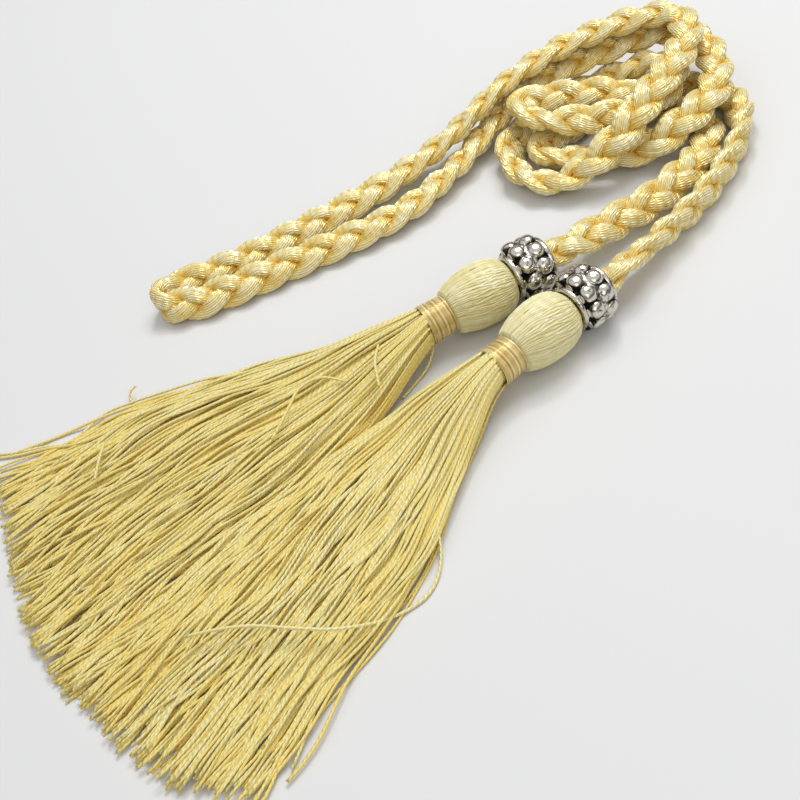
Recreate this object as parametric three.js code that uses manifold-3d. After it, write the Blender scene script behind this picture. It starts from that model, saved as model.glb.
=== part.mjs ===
// Plaited cord belt, folded double and loosely coiled, with a bead and a tassel on each end.
// Millimetres, +Z up. The belt lies on the plane z = 0.

import * as THREE from 'three';
import { mergeVertices } from 'three/addons/utils/BufferGeometryUtils.js';
import Module from 'manifold-3d';

const wasm = await Module();
wasm.setup();

// Driving sizes of the plait
const plaitWidth = 8.2;
const plaitThickness = 4.7;
const scallopPitch = 8.3;
const scallopDepth = 0.45;

// Driving sizes of the beads
const beadDiameter = 14;
const beadLength = 9.6;
const beadHole = 8;
const rimDiameter = 10.6;
const rimWidth = 1.3;
const bellyDiameter = 12;
const dotDiameter = 3.9;
const dotsPerRow = 9;
const dotRowSpacing = 3.5;
const holeClearance = 0.4;

// Driving sizes of the tassels
const headDiameter = 14;
const headLength = 15.2;
const neckDiameter = 7.2;
const bindingLength = 6;
const bindingWall = 0.7;
const bindingWraps = 5;
const wrapRise = 0.25;
const fringeLength = 100;
const lockWidth = 9;
const lockThickness = 4.6;
const coreShare = 0.85;
const layerLift = 1.5;
const seatGap = 0.3;

// The middle of the belt's outline on the ground, in the frame that the places below use
const layoutCentre = { x: -2.2, y: -3.2 };

// Where the middle of each bead lies
const firstBeadX = 28;
const firstBeadY = 11.5;
const secondBeadX = 36.1;
const secondBeadY = -3.2;

// Each end's bead, and the compass angle of the tassel that hangs off it, in degrees
const ends = [
  { bead: { x: firstBeadX, y: firstBeadY }, heading: 194.8 },
  { bead: { x: secondBeadX, y: secondBeadY }, heading: 205.1 },
];

// The belt's route as it lies. Each row is x, y, z and the plait's lean about its own length:
// at a lean of 0 the broad side is level, and at 90 the plait stands on its edge.
const upperLeg = [
  [-47, 50.9, 3.5, 35], [-40, 51, 3.5, 35], [-31, 52.1, 3.4, 32], [-20, 54.6, 3.3, 28],
  [-9, 57.6, 3.2, 20], [4, 61, 3.6, 5], [16, 64.2, 5, -15], [26, 67.4, 7.2, -28],
  [34.6, 70.8, 9.6, -32], [43, 74.2, 11.6, -28], [52, 76.8, 12.9, -20], [62, 78.2, 13.9, -10],
  [71, 77.8, 14.7, -5], [79, 76.2, 15.4, 0],
];
const upperHeap = [
  [85.4, 72.8, 16, 0], [87.2, 67.2, 16, 0], [85.2, 60.6, 16, 0], [79.6, 54, 15.8, -10],
  [72.8, 48, 15, -25], [66, 43, 13.2, -35], [59.4, 39.8, 10.2, -32], [52, 39, 6.8, -15],
  [44.6, 40.6, 3.4, 10], [38.8, 45, 3.4, 30], [36.6, 51.6, 3.8, 50], [38, 59, 3.6, 40],
  [43, 64.4, 3, 15], [50, 69.6, 2.8, 0], [58.4, 72.8, 2.8, 0], [66.4, 73.2, 3.4, 0],
  [73, 71.6, 5.2, 0], [77.4, 68.4, 7.6, 0], [80, 64.4, 9, 0], [80.4, 59.6, 9.8, 0],
  [78.6, 55, 9.8, 0], [74.6, 51.6, 9.2, -10], [69.4, 50.4, 8.6, -25], [64, 51.4, 8, -30],
  [58.6, 53, 8, -30], [53.2, 54.6, 8.6, -20], [47.6, 56.6, 9.8, 15], [42.6, 61, 10.6, 60],
  [44.8, 66, 9.6, 30], [50.4, 66.4, 8.8, 30], [56.6, 64.2, 8.6, 30], [63.4, 61.4, 8.4, 25],
  [69.6, 58.4, 7.2, 10], [74.8, 55, 4.8, 0], [79.4, 51.2, 3.2, 0],
];
const upperEnd = [
  [82, 45.8, 2.8, 0], [81, 39.6, 2.8, 0], [76.8, 33, 3.6, -22], [70.6, 27.4, 4.5, -40],
  [62.6, 23, 4.5, -40], [53.4, 19.8, 4.8, -36], [44.8, 16.6, 5.8, -20], [38, 14.2, 6.6, 0],
];
const fold = [
  [-52, 49.4, 4, -62], [-54, 46.85, 4.4, -90], [-52, 44.3, 4, -118],
];
const lowerLeg = [
  [-47, 42.8, 3.5, 35], [-40, 42.8, 3.5, 35], [-31, 43.6, 3.4, 32], [-20, 45.4, 3.3, 28],
  [-9, 46.6, 3.2, 20], [2, 48.4, 3.2, 5], [11, 51.4, 3.2, -10], [19, 56.4, 3.2, -25],
  [27, 62, 3.4, -28], [35, 68.4, 4.6, -22], [43, 73.2, 6.2, -5], [52, 76, 7.5, 10],
  [61, 77.4, 8.5, 15], [70, 77.6, 9.1, 15], [79, 76.8, 9.7, 12],
];
const lowerHeap = [
  [85.8, 74.2, 10.2, 15], [89.4, 69, 10.4, 15], [90.6, 62, 10.4, 10], [89.6, 54.6, 10, 0],
  [86.6, 47.8, 9.6, -12], [81, 42.8, 9.2, -20], [74.4, 40, 8.1, -30], [67.6, 39.6, 5.6, -32],
  [60.8, 42.6, 3.8, -20], [54.6, 46.4, 3.1, 0], [48.6, 48.4, 3.3, 20], [43.8, 51, 4.1, 60],
  [46, 55.8, 3.7, 40], [51.8, 59.2, 2.9, 10], [58.8, 62.6, 2.7, 0], [66, 64, 2.7, 0],
  [74.4, 64, 2.7, 0], [81.6, 62, 2.7, 0], [87.4, 58, 2.7, 0],
];
const lowerEnd = [
  [90.2, 52, 2.8, 10], [90.6, 45, 3.5, 30], [88.8, 38.2, 4, 65], [84.6, 31.2, 4.3, 80],
  [78.4, 24.4, 4.3, 80], [71, 18, 4.3, 80], [62.7, 12.4, 4.6, 75], [54.6, 7.4, 5.4, 60],
  [48, 3.2, 6.4, 40],
];

// Colours of the finishes
const cordColour = '#e3c97e';
const silverColour = '#9d9a94';
const threadColour = '#e8cf98';

function cordFinish(name) {
  return new THREE.MeshStandardMaterial({ name, color: cordColour, roughness: 0.45, metalness: 0 });
}

function silverFinish(name) {
  return new THREE.MeshStandardMaterial({ name, color: silverColour, roughness: 0.3, metalness: 1 });
}

function threadFinish(name) {
  return new THREE.MeshStandardMaterial({ name, color: threadColour, roughness: 0.35, metalness: 0 });
}

// A run of rings with equal counts of points, closed into one solid with a flat cap on each end.
// The points of a ring go counterclockwise as seen against the direction of travel.
function loft(rings) {
  const count = rings[0].length;
  const last = (rings.length - 1) * count;
  const faces = [];
  for (let ring = 0; ring < last; ring += count) {
    for (let i = 0; i < count; i += 1) {
      const here = ring + i;
      const beside = ring + ((i + 1) % count);
      faces.push(here, beside, beside + count, here, beside + count, here + count);
    }
  }
  for (let i = 1; i + 1 < count; i += 1) {
    faces.push(0, i + 1, i, last, last + i, last + i + 1);
  }
  const geometry = new THREE.BufferGeometry().setFromPoints(rings.flat());
  geometry.setIndex(faces);
  return geometry;
}

function toSolid(geometry) {
  const bare = geometry.clone();
  bare.deleteAttribute('normal');
  bare.deleteAttribute('uv');
  const merged = mergeVertices(bare, 1e-4);
  return new wasm.Manifold(new wasm.Mesh({
    numProp: 3,
    vertProperties: new Float32Array(merged.attributes.position.array),
    triVerts: new Uint32Array(merged.index.array),
  }));
}

function toGeometry(solid) {
  const mesh = solid.getMesh();
  const geometry = new THREE.BufferGeometry();
  geometry.setAttribute('position', new THREE.BufferAttribute(mesh.vertProperties, 3));
  geometry.setIndex(new THREE.BufferAttribute(mesh.triVerts, 1));
  geometry.computeVertexNormals();
  return geometry;
}

// Joins pieces into one solid. Pieces that lie close can shut hollows in between them, and of
// the separate skins only the outer one, which holds the most, is kept.
function fuse(geometries) {
  const joined = geometries.map(toSolid).reduce((whole, piece) => whole.add(piece));
  const skins = joined.decompose().sort((a, b) => b.volume() - a.volume());
  return skins[0];
}

// Direction along the ground at a compass angle given in degrees
function groundDirection(heading) {
  const angle = THREE.MathUtils.degToRad(heading);
  return new THREE.Vector3(Math.cos(angle), Math.sin(angle), 0);
}

// The two route rows inside a bead: where the plait enters its hole, and where the plait stops
function rowsThroughBead({ bead, heading }) {
  const along = groundDirection(heading);
  return [-0.5, 0.5].map((share) => [
    bead.x + along.x * beadLength * share,
    bead.y + along.y * beadLength * share,
    beadDiameter / 2,
    0,
  ]);
}

// The whole route from the first tassel to the second. The first half is travelled backwards,
// so its leans change sign, and the plait has turned over once it is past the fold.
function wholeRoute() {
  const firstHalf = [...upperLeg, ...upperHeap, ...upperEnd, ...rowsThroughBead(ends[0])];
  const secondHalf = [...lowerLeg, ...lowerHeap, ...lowerEnd, ...rowsThroughBead(ends[1])];
  return [
    ...firstHalf.reverse().map(([x, y, z, lean]) => [x, y, z, -lean]),
    ...fold,
    ...secondHalf.map(([x, y, z, lean]) => [x, y, z, lean - 180]),
  ];
}

// Half of the plait's section as shares of its half width and half thickness, with a groove
// down the middle of each broad side. The other half is the same, turned round.
const sectionShares = [[1, 0], [0.62, 0.96], [0, 0.78], [-0.62, 0.96]];

function plaitRing(centre, travel, lean, halfWidths, halfThickness) {
  const left = new THREE.Vector3(0, 0, 1).cross(travel).normalize();
  const up = travel.clone().cross(left);
  const angle = THREE.MathUtils.degToRad(lean);
  const across = left.clone().multiplyScalar(Math.cos(angle)).addScaledVector(up, Math.sin(angle));
  const over = up.clone().multiplyScalar(Math.cos(angle)).addScaledVector(left, -Math.sin(angle));
  const wholeSection = [...sectionShares, ...sectionShares.map(([w, t]) => [-w, -t])];
  return wholeSection.map(([wide, thick]) => {
    const halfWidth = wide > 0 ? halfWidths.near : halfWidths.far;
    return centre.clone()
      .addScaledVector(across, wide * halfWidth)
      .addScaledVector(over, thick * halfThickness);
  });
}

// The plaited cord: edges that swell by turns on one side and the other, and a squeezed,
// rounder end through each bead
function braidGeometry() {
  const route = wholeRoute();
  const points = route.map(([x, y, z]) => new THREE.Vector3(x, y, z));
  const curve = new THREE.CatmullRomCurve3(points, false, 'centripetal');
  curve.arcLengthDivisions = points.length * 40;
  const length = curve.getLength();
  const steps = Math.round(length / (scallopPitch / 2));
  const squeezedHalf = beadHole / 2 - holeClearance;
  const squeezeRun = plaitWidth;
  const rings = [];
  for (let step = 0; step <= steps; step += 1) {
    const share = step / steps;
    const rowPlace = curve.getUtoTmapping(share) * (route.length - 1);
    const row = Math.min(Math.floor(rowPlace), route.length - 2);
    const lean = THREE.MathUtils.lerp(route[row][3], route[row + 1][3], rowPlace - row);
    const fromEnd = Math.min(share, 1 - share) * length;
    const free = THREE.MathUtils.smoothstep(fromEnd, beadLength, beadLength + squeezeRun);
    const halfWidth = THREE.MathUtils.lerp(squeezedHalf, plaitWidth / 2, free);
    const halfThickness = THREE.MathUtils.lerp(squeezedHalf * 0.8, plaitThickness / 2, free);
    const swell = scallopDepth / 2 * free * (step % 2 ? 1 : -1);
    const halfWidths = { near: halfWidth + swell, far: halfWidth - swell };
    const travel = curve.getTangentAt(share);
    rings.push(plaitRing(curve.getPointAt(share), travel, lean, halfWidths, halfThickness));
  }
  return loft(rings);
}

// A closed profile of [place along the axis, radius] turned about the X axis
function turned(profile, segments) {
  const outline = [...profile, profile[0]].map(([along, radius]) => new THREE.Vector2(radius, along));
  return new THREE.LatheGeometry(outline, segments).rotateZ(-Math.PI / 2);
}

// The bead: a barrel with a plain rim ring at each end, and two staggered rows of round dots
function beadGeometry() {
  const half = beadLength / 2;
  const barrel = turned([
    [half, beadHole / 2], [-half, beadHole / 2],
    [-half, rimDiameter / 2], [-half + rimWidth, rimDiameter / 2],
    [-dotRowSpacing / 2, bellyDiameter / 2], [dotRowSpacing / 2, bellyDiameter / 2],
    [half - rimWidth, rimDiameter / 2], [half, rimDiameter / 2],
  ], 24);
  const pieces = [barrel];
  const dotReach = (beadDiameter - dotDiameter) / 2;
  const dotTurn = 2 * Math.PI / dotsPerRow;
  for (const side of [-0.5, 0.5]) {
    for (let dot = 0; dot < dotsPerRow; dot += 1) {
      const ball = new THREE.SphereGeometry(dotDiameter / 2, 8, 4);
      ball.translate(0, dotReach, 0);
      ball.rotateX((dot + side / 2) * dotTurn);
      ball.translate(side * dotRowSpacing, 0, 0);
      pieces.push(ball);
    }
  }
  return toGeometry(fuse(pieces).subtract(toSolid(boreGeometry())));
}

// What the bead's hole takes away from the dots
function boreGeometry() {
  return new THREE.CylinderGeometry(beadHole / 2, beadHole / 2, beadLength * 2, 24)
    .rotateZ(-Math.PI / 2);
}

// Head of a tassel: rows are share of the head's length, and share of its greatest radius
const headShape = [
  [0, 0.66], [0.06, 0.78], [0.16, 0.9], [0.3, 0.98], [0.45, 1],
  [0.6, 0.98], [0.76, 0.92], [0.9, 0.82], [1, 0.72],
];
const headRibs = 10;
const ribShare = 0.03;

// A ring about a line along X, with furrows where every second point lies deeper
function roundRing(along, radius, height, ribs = 0) {
  const count = headRibs * 2;
  return Array.from({ length: count }, (_, i) => {
    const angle = i * 2 * Math.PI / count;
    const reach = radius * (1 - ribs * (i % 2));
    return new THREE.Vector3(along, reach * Math.cos(angle), height + reach * Math.sin(angle));
  });
}

const headHeight = headDiameter / 2;
const neckStart = headLength;
const neckEnd = neckStart + bindingLength + 2 * seatGap;
const fringeStart = neckEnd + seatGap;
const rootRadius = neckDiameter / 2 + bindingWall;

function headGeometry() {
  const rings = headShape.map(([along, wide]) => (
    roundRing(along * headLength, wide * headHeight, headHeight, ribShare)
  ));
  return loft(rings);
}

function neckGeometry() {
  return loft([
    roundRing(neckStart - seatGap, neckDiameter / 2, headHeight),
    roundRing(neckEnd, neckDiameter / 2, headHeight),
    roundRing(fringeStart, rootRadius, headHeight),
  ]);
}

// Stations along the fringe: share of its length, share of a lock's width and thickness, and
// how far the fringe has come down from the neck to the ground
const stations = [
  { along: 0, wide: 0.45, thick: 0.8, fallen: 0 },
  { along: 0.05, wide: 0.5, thick: 0.9, fallen: 0.12 },
  { along: 0.1, wide: 0.6, thick: 1, fallen: 0.3 },
  { along: 0.18, wide: 0.7, thick: 1, fallen: 0.6 },
  { along: 0.3, wide: 0.8, thick: 1, fallen: 0.85 },
  { along: 0.45, wide: 0.9, thick: 0.95, fallen: 0.97 },
  { along: 0.64, wide: 1, thick: 0.85, fallen: 1 },
  { along: 1, wide: 0.9, thick: 0.4, fallen: 1 },
];

// The two fringes. Low and high are the edges of the fan at each station, as shares of the
// fringe's length to either side of the head's line. Each lock has its place across the fan
// from 0 to 1, its reach as a share of the fringe's length, and its layer: 0 lies on the
// ground and 1 on the others.
const fringes = [
  {
    low: [-0.05, -0.06, -0.08, -0.114, -0.15, -0.2, -0.265, -0.285],
    high: [0.05, 0.075, 0.1, 0.125, 0.152, 0.181, 0.217, 0.28],
    locks: [
      { across: 0, reach: 0.95, layer: 0 }, { across: 0.17, reach: 0.98, layer: 0 },
      { across: 0.33, reach: 1.01, layer: 0 }, { across: 0.5, reach: 1.03, layer: 0 },
      { across: 0.67, reach: 1.03, layer: 0 }, { across: 0.83, reach: 1.02, layer: 0 },
      { across: 1, reach: 1, layer: 0 },
      { across: 0.14, reach: 0.9, layer: 1 }, { across: 0.32, reach: 0.93, layer: 1 },
      { across: 0.5, reach: 0.91, layer: 1 }, { across: 0.68, reach: 0.94, layer: 1 },
      { across: 0.86, reach: 0.9, layer: 1 },
    ],
  },
  {
    low: [-0.05, -0.06, -0.075, -0.096, -0.103, -0.106, -0.106, -0.106],
    high: [0.05, 0.068, 0.092, 0.132, 0.195, 0.253, 0.305, 0.4],
    locks: [
      { across: 0, reach: 1.04, layer: 0 }, { across: 0.17, reach: 1.03, layer: 0 },
      { across: 0.33, reach: 1.05, layer: 0 }, { across: 0.5, reach: 1.03, layer: 0 },
      { across: 0.67, reach: 1, layer: 0 }, { across: 0.84, reach: 0.96, layer: 0 },
      { across: 1, reach: 0.9, layer: 0 },
      { across: 0.14, reach: 0.93, layer: 1 }, { across: 0.32, reach: 0.95, layer: 1 },
      { across: 0.5, reach: 0.92, layer: 1 }, { across: 0.68, reach: 0.9, layer: 1 },
      { across: 0.85, reach: 0.82, layer: 1 },
    ],
  },
];

// An upright ring across the fringe, with its middle at a side and a height
function fringeRing(x, side, height, halfWidth, halfThickness, sides) {
  return Array.from({ length: sides }, (_, i) => {
    const angle = (i + 0.5) * 2 * Math.PI / sides;
    const y = side + Math.cos(angle) * halfWidth;
    return new THREE.Vector3(x, y, height + Math.sin(angle) * halfThickness);
  });
}

// One lock: a flat, tapering strip from inside the neck out over the ground
function lockGeometry({ low, high }, { across, reach, layer }) {
  return loft(stations.map(({ along, wide, thick, fallen }, index) => {
    const halfWidth = lockWidth / 2 * wide;
    const halfThickness = lockThickness / 2 * thick;
    const from = low[index] * fringeLength + halfWidth;
    const to = high[index] * fringeLength - halfWidth;
    const side = THREE.MathUtils.lerp(from, Math.max(from, to), across);
    const ground = halfThickness * (1 + layer * layerLift);
    const height = THREE.MathUtils.lerp(headHeight + layer * seatGap, ground, fallen);
    const x = fringeStart + along * reach * fringeLength;
    return fringeRing(x, side, height, halfWidth, halfThickness, 8);
  }));
}

// The inside of the fringe: one fan as round as the neck where it starts, which then flattens
// and fills the room between the locks
function fringeCoreGeometry({ low, high }) {
  return loft(stations.slice(0, -1).map(({ along, thick, fallen }, index) => {
    const halfWidth = (high[index] - low[index]) * fringeLength / 2 * coreShare;
    const side = (high[index] + low[index]) * fringeLength / 2;
    const flattened = lockThickness * thick * coreShare;
    const halfThickness = THREE.MathUtils.lerp(rootRadius, flattened, fallen);
    const height = THREE.MathUtils.lerp(headHeight, halfThickness + seatGap, fallen);
    return fringeRing(fringeStart + along * fringeLength, side, height, halfWidth, halfThickness, 12);
  }));
}

// The tassel: head, neck and the locks of its fringe as one solid
function tasselGeometry(fringe) {
  const locks = fringe.locks.map((lock) => lockGeometry(fringe, lock));
  return toGeometry(fuse([headGeometry(), neckGeometry(), fringeCoreGeometry(fringe), ...locks]));
}

// The thread wound round the neck, as a ring with a ridge for every few turns
function bindingGeometry() {
  const inner = neckDiameter / 2 + seatGap;
  const start = neckStart + seatGap;
  const profile = [[start + bindingLength, inner], [start, inner]];
  for (let half = 0; half <= 2 * bindingWraps; half += 1) {
    const along = start + bindingLength * half / (2 * bindingWraps);
    profile.push([along, inner + bindingWall - (half % 2 ? 0 : wrapRise)]);
  }
  return turned(profile, 20);
}

const belt = new THREE.Group();
belt.position.set(-layoutCentre.x, -layoutCentre.y, 0);

function addMesh(name, geometry, material, parent = belt) {
  const mesh = new THREE.Mesh(geometry, material);
  mesh.name = name;
  parent.add(mesh);
  return mesh;
}

addMesh('braid', braidGeometry(), cordFinish('braid_cord'));

ends.forEach(({ bead, heading }, index) => {
  const number = index + 1;
  const turn = THREE.MathUtils.degToRad(heading);

  const beadMesh = addMesh(`bead_${number}`, beadGeometry(), silverFinish('antique_silver'));
  beadMesh.position.set(bead.x, bead.y, beadDiameter / 2);
  beadMesh.rotation.z = turn;

  const tassel = new THREE.Group();
  const along = groundDirection(heading).multiplyScalar(beadLength / 2 + seatGap);
  tassel.position.set(bead.x + along.x, bead.y + along.y, 0);
  tassel.rotation.z = turn;
  belt.add(tassel);

  addMesh(`tassel_${number}`, tasselGeometry(fringes[index]), cordFinish('fringe_thread'), tassel);
  const binding = addMesh(`neck_binding_${number}`, bindingGeometry(), threadFinish('satin_thread'), tassel);
  binding.position.z = headHeight;
});

export default belt;
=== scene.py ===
"""A plaited cord belt with a bead and a tassel on each end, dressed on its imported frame."""

import math

import bpy
import numpy as np
from mathutils import Matrix, Vector


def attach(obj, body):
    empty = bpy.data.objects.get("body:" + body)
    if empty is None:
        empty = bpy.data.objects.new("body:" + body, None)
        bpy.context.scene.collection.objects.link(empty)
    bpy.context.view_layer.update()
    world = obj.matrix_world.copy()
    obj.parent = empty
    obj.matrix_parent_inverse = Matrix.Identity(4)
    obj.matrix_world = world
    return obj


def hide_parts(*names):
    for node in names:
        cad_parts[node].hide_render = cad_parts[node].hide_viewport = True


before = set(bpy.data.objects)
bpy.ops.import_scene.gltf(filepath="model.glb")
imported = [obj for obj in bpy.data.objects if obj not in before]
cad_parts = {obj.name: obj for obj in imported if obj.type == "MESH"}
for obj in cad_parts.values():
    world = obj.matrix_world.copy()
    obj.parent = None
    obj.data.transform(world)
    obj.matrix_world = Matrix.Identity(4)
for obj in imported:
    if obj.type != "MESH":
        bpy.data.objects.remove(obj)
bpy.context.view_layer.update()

# Sizes of the plait, in metres
PLAIT_WIDTH = 0.0082
PLAIT_THICKNESS = 0.0047
SCALLOP_PITCH = 0.0083
ROUTE_STEP = 0.00105
STRANDS = 3
STRAND_HALF_WIDTH = PLAIT_WIDTH * 0.215
STRAND_HALF_THICKNESS = PLAIT_THICKNESS * 0.225
YARNS_ROUND_STRAND = 18
POINTS_ROUND_YARN = 3

# The weave: how far a strand swings to either side and, as a share of the plait's thickness,
# up and down, what changes in both inside the beads, and how far a strand rolls
WEAVE_REACH = PLAIT_WIDTH * 0.275
WEAVE_DEPTH = 0.25
REACH_IN_BEAD = 0.72
DEEPER_IN_BEAD = 0.06
STRAND_ROLL = math.radians(24)

# The yarns' relief, in metres: the round of each, how far single ones stand proud, and the
# height and lengths of their slow waves
YARN_ROUND = 0.0003
YARN_PROUD = (-0.00006, 0.00009)
YARN_WAVE = 0.00005
YARN_WAVE_LENGTHS = (0.0031, 0.0013)

# How deep the flutes between yarns or threads are, as a share of a full half round
FLUTE_DEPTH = 0.96

# Sizes of the beads, in metres
BEAD_DIAMETER = 0.014
BEAD_LENGTH = 0.0096
BEAD_HOLE = 0.008
RIM_DIAMETER = 0.0106
RIM_WIDTH = 0.0013
RIM_ROUNDING = RIM_WIDTH * 0.4
BELLY_DIAMETER = 0.0127
BELLY_ROWS = 44
HOLE_ROWS = 14
DOT_DIAMETER = 0.0039
DOT_FOOT = 0.00012
DOTS_PER_ROW = 9
DOT_ROW_SPACING = 0.0035
POINTS_ROUND_DOT = 26

# Sizes of the tassels, in metres
HEAD_DIAMETER = 0.014
HEAD_LENGTH = 0.0152
HEAD_ROWS = 56
THREADS_ROUND_HEAD = 88
POINTS_ROUND_HEAD_THREAD = 4
NECK_DIAMETER = 0.0072
BINDING_LENGTH = 0.006
BINDING_WALL = 0.0007
BINDING_TURNS = 24
ROWS_IN_TURN = 5
BINDING_COLUMNS = 72
FRINGE_LENGTH = 0.1
SEAT_GAP = 0.0003
THREAD_DIAMETER = 0.00063
THREAD_STEPS = 42
THREAD_SIDES = 6
BUNDLES_IN_FRINGE = 62
THREADS_IN_BUNDLE = 6

# The belt's layout, as in the CAD model: the middle of its outline, the place of each bead on
# the ground, and the compass angle of its tassel in degrees
LAYOUT_CENTRE = Vector((-0.0022, -0.0032, 0.0))
ENDS = [
    {"bead": Vector((0.028, 0.0115, BEAD_DIAMETER / 2)), "heading": 194.8},
    {"bead": Vector((0.0361, -0.0032, BEAD_DIAMETER / 2)), "heading": 205.1},
]

# The belt's route as it lies, as in the CAD model, in metres: rows of x, y, z and the plait's
# lean about its own length in degrees
UPPER_LEG = [
    (-0.047, 0.0509, 0.0035, 35), (-0.04, 0.051, 0.0035, 35), (-0.031, 0.0521, 0.0034, 32),
    (-0.02, 0.0546, 0.0033, 28), (-0.009, 0.0576, 0.0032, 20), (0.004, 0.061, 0.0036, 5),
    (0.016, 0.0642, 0.005, -15), (0.026, 0.0674, 0.0072, -28), (0.0346, 0.0708, 0.0096, -32),
    (0.043, 0.0742, 0.0116, -28), (0.052, 0.0768, 0.0129, -20), (0.062, 0.0782, 0.0139, -10),
    (0.071, 0.0778, 0.0147, -5), (0.079, 0.0762, 0.0154, 0),
]
UPPER_HEAP = [
    (0.0854, 0.0728, 0.016, 0), (0.0872, 0.0672, 0.016, 0), (0.0852, 0.0606, 0.016, 0),
    (0.0796, 0.054, 0.0158, -10), (0.0728, 0.048, 0.015, -25), (0.066, 0.043, 0.0132, -35),
    (0.0594, 0.0398, 0.0102, -32), (0.052, 0.039, 0.0068, -15), (0.0446, 0.0406, 0.0034, 10),
    (0.0388, 0.045, 0.0034, 30), (0.0366, 0.0516, 0.0038, 50), (0.038, 0.059, 0.0036, 40),
    (0.043, 0.0644, 0.003, 15), (0.05, 0.0696, 0.0028, 0), (0.0584, 0.0728, 0.0028, 0),
    (0.0664, 0.0732, 0.0034, 0), (0.073, 0.0716, 0.0052, 0), (0.0774, 0.0684, 0.0076, 0),
    (0.08, 0.0644, 0.009, 0), (0.0804, 0.0596, 0.0098, 0), (0.0786, 0.055, 0.0098, 0),
    (0.0746, 0.0516, 0.0092, -10), (0.0694, 0.0504, 0.0086, -25), (0.064, 0.0514, 0.008, -30),
    (0.0586, 0.053, 0.008, -30), (0.0532, 0.0546, 0.0086, -20), (0.0476, 0.0566, 0.0098, 15),
    (0.0426, 0.061, 0.0106, 60), (0.0448, 0.066, 0.0096, 30), (0.0504, 0.0664, 0.0088, 30),
    (0.0566, 0.0642, 0.0086, 30), (0.0634, 0.0614, 0.0084, 25), (0.0696, 0.0584, 0.0072, 10),
    (0.0748, 0.055, 0.0048, 0), (0.0794, 0.0512, 0.0032, 0),
]
UPPER_END = [
    (0.082, 0.0458, 0.0028, 0), (0.081, 0.0396, 0.0028, 0), (0.0768, 0.033, 0.0036, -22),
    (0.0706, 0.0274, 0.0045, -40), (0.0626, 0.023, 0.0045, -40), (0.0534, 0.0198, 0.0048, -36),
    (0.0448, 0.0166, 0.0058, -20), (0.038, 0.0142, 0.0066, 0),
]
FOLD = [
    (-0.052, 0.0494, 0.004, -62), (-0.054, 0.04685, 0.0044, -90), (-0.052, 0.0443, 0.004, -118),
]
LOWER_LEG = [
    (-0.047, 0.0428, 0.0035, 35), (-0.04, 0.0428, 0.0035, 35), (-0.031, 0.0436, 0.0034, 32),
    (-0.02, 0.0454, 0.0033, 28), (-0.009, 0.0466, 0.0032, 20), (0.002, 0.0484, 0.0032, 5),
    (0.011, 0.0514, 0.0032, -10), (0.019, 0.0564, 0.0032, -25), (0.027, 0.062, 0.0034, -28),
    (0.035, 0.0684, 0.0046, -22), (0.043, 0.0732, 0.0062, -5), (0.052, 0.076, 0.0075, 10),
    (0.061, 0.0774, 0.0085, 15), (0.07, 0.0776, 0.0091, 15), (0.079, 0.0768, 0.0097, 12),
]
LOWER_HEAP = [
    (0.0858, 0.0742, 0.0102, 15), (0.0894, 0.069, 0.0104, 15), (0.0906, 0.062, 0.0104, 10),
    (0.0896, 0.0546, 0.01, 0), (0.0866, 0.0478, 0.0096, -12), (0.081, 0.0428, 0.0092, -20),
    (0.0744, 0.04, 0.0081, -30), (0.0676, 0.0396, 0.0056, -32), (0.0608, 0.0426, 0.0038, -20),
    (0.0546, 0.0464, 0.0031, 0), (0.0486, 0.0484, 0.0033, 20), (0.0438, 0.051, 0.0041, 60),
    (0.046, 0.0558, 0.0037, 40), (0.0518, 0.0592, 0.0029, 10), (0.0588, 0.0626, 0.0027, 0),
    (0.066, 0.064, 0.0027, 0), (0.0744, 0.064, 0.0027, 0), (0.0816, 0.062, 0.0027, 0),
    (0.0874, 0.058, 0.0027, 0),
]
LOWER_END = [
    (0.0902, 0.052, 0.0028, 10), (0.0906, 0.045, 0.0035, 30), (0.0888, 0.0382, 0.004, 65),
    (0.0846, 0.0312, 0.0043, 80), (0.0784, 0.0244, 0.0043, 80), (0.071, 0.018, 0.0043, 80),
    (0.0627, 0.0124, 0.0046, 75), (0.0546, 0.0074, 0.0054, 60), (0.048, 0.0032, 0.0064, 40),
]


def unit(vectors):
    """The vectors at a length of one."""
    return vectors / np.linalg.norm(vectors, axis=-1, keepdims=True)


def smoothstep(value, low, high):
    """Eases from 0 at the low value to 1 at the high one."""
    share = np.clip((value - low) / (high - low), 0, 1)
    return share * share * (3 - 2 * share)


def ground_direction(heading):
    """The level direction of a compass angle in degrees."""
    angle = math.radians(heading)
    return Vector((math.cos(angle), math.sin(angle), 0))


# Camera, at the photograph's angle above the ground
CAMERA_PLACE = Vector((-0.008, -0.218, 0.211))
CAMERA_ELEVATION = math.radians(45)
CAMERA_ROLL = math.radians(19.3)
SENSOR_WIDTH = 36
LENS = 63


def make_camera():
    right = Vector((1, 0, 0))
    forward = Vector((0, math.cos(CAMERA_ELEVATION), -math.sin(CAMERA_ELEVATION)))
    up = right.cross(forward)
    side = right * math.cos(CAMERA_ROLL) - up * math.sin(CAMERA_ROLL)
    top = right * math.sin(CAMERA_ROLL) + up * math.cos(CAMERA_ROLL)
    turn = Matrix((side, top, -forward)).transposed().to_4x4()
    camera = bpy.data.objects.new("camera", bpy.data.cameras.new("camera"))
    camera.matrix_world = Matrix.Translation(CAMERA_PLACE - LAYOUT_CENTRE) @ turn
    camera.data.sensor_width = SENSOR_WIDTH
    camera.data.lens = LENS
    camera.data.clip_start = 0.01
    bpy.context.scene.collection.objects.link(camera)
    bpy.context.scene.camera = camera


# Meshes made of rings


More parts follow.
